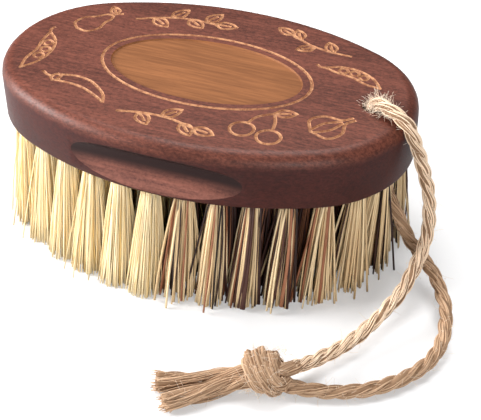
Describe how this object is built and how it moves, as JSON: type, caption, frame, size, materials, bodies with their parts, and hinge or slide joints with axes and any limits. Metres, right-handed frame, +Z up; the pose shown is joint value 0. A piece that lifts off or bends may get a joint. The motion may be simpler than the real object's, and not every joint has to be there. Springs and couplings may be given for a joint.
{
  "type": "vegetable brush",
  "caption": "Oval wooden vegetable brush with soft and firm fibre tufts anchored in drilled holes, a finger groove along each side and a knotted hanging cord",
  "frame": {"origin": "on the table at the trimmed tips of the fibres, under the middle of the block", "axes": "+Z up from the fibre tips to the block's flat top, +X along the block towards the end with the cord hole, +Y across it, away from the side on which the cord lies"},
  "size_m": [0.1467, 0.1302, 0.053],
  "materials": {
    "stained_wood": "dark stain, satin",
    "soft_fibre": "soft pale plant fibre, slightly glossy",
    "firm_fibre": "coarse mixed straw and brown plant fibre",
    "anchor_wire": "plain flat wire",
    "jute_cord": "twisted jute, matt and hairy"
  },
  "bodies": {
    "root": {"block": "stained_wood", "anchors": "anchor_wire", "outer_tuft_1": "firm_fibre", "outer_tuft_2": "firm_fibre", "outer_tuft_3": "firm_fibre", "outer_tuft_4": "firm_fibre", "outer_tuft_5": "firm_fibre", "outer_tuft_6": "firm_fibre", "outer_tuft_7": "firm_fibre", "outer_tuft_8": "soft_fibre", "outer_tuft_9": "soft_fibre", "outer_tuft_10": "soft_fibre", "outer_tuft_11": "soft_fibre", "outer_tuft_12": "soft_fibre", "outer_tuft_13": "soft_fibre", "outer_tuft_14": "soft_fibre", "outer_tuft_15": "soft_fibre", "outer_tuft_16": "soft_fibre", "outer_tuft_17": "soft_fibre", "outer_tuft_18": "soft_fibre", "outer_tuft_19": "soft_fibre", "outer_tuft_20": "soft_fibre", "outer_tuft_21": "soft_fibre", "outer_tuft_22": "soft_fibre", "outer_tuft_23": "soft_fibre", "outer_tuft_24": "firm_fibre", "outer_tuft_25": "firm_fibre", "outer_tuft_26": "firm_fibre", "outer_tuft_27": "firm_fibre", "outer_tuft_28": "firm_fibre", "outer_tuft_29": "firm_fibre", "outer_tuft_30": "firm_fibre", "second_tuft_1": "firm_fibre", "second_tuft_2": "firm_fibre", "second_tuft_3": "firm_fibre", "second_tuft_4": "firm_fibre", "second_tuft_5": "firm_fibre", "second_tuft_6": "soft_fibre", "second_tuft_7": "soft_fibre", "second_tuft_8": "soft_fibre", "second_tuft_9": "soft_fibre", "second_tuft_10": "soft_fibre", "second_tuft_11": "soft_fibre", "second_tuft_12": "soft_fibre", "second_tuft_13": "soft_fibre", "second_tuft_14": "soft_fibre", "second_tuft_15": "soft_fibre", "second_tuft_16": "firm_fibre", "second_tuft_17": "firm_fibre", "second_tuft_18": "firm_fibre", "second_tuft_19": "firm_fibre", "second_tuft_20": "firm_fibre", "inner_soft_tufts": "soft_fibre", "inner_firm_tufts": "firm_fibre", "cord_over_rim": "jute_cord", "cord_under_block": "jute_cord", "knot": "jute_cord", "back_tail": "jute_cord", "front_tail": "jute_cord"}
  },
  "joints": []
}
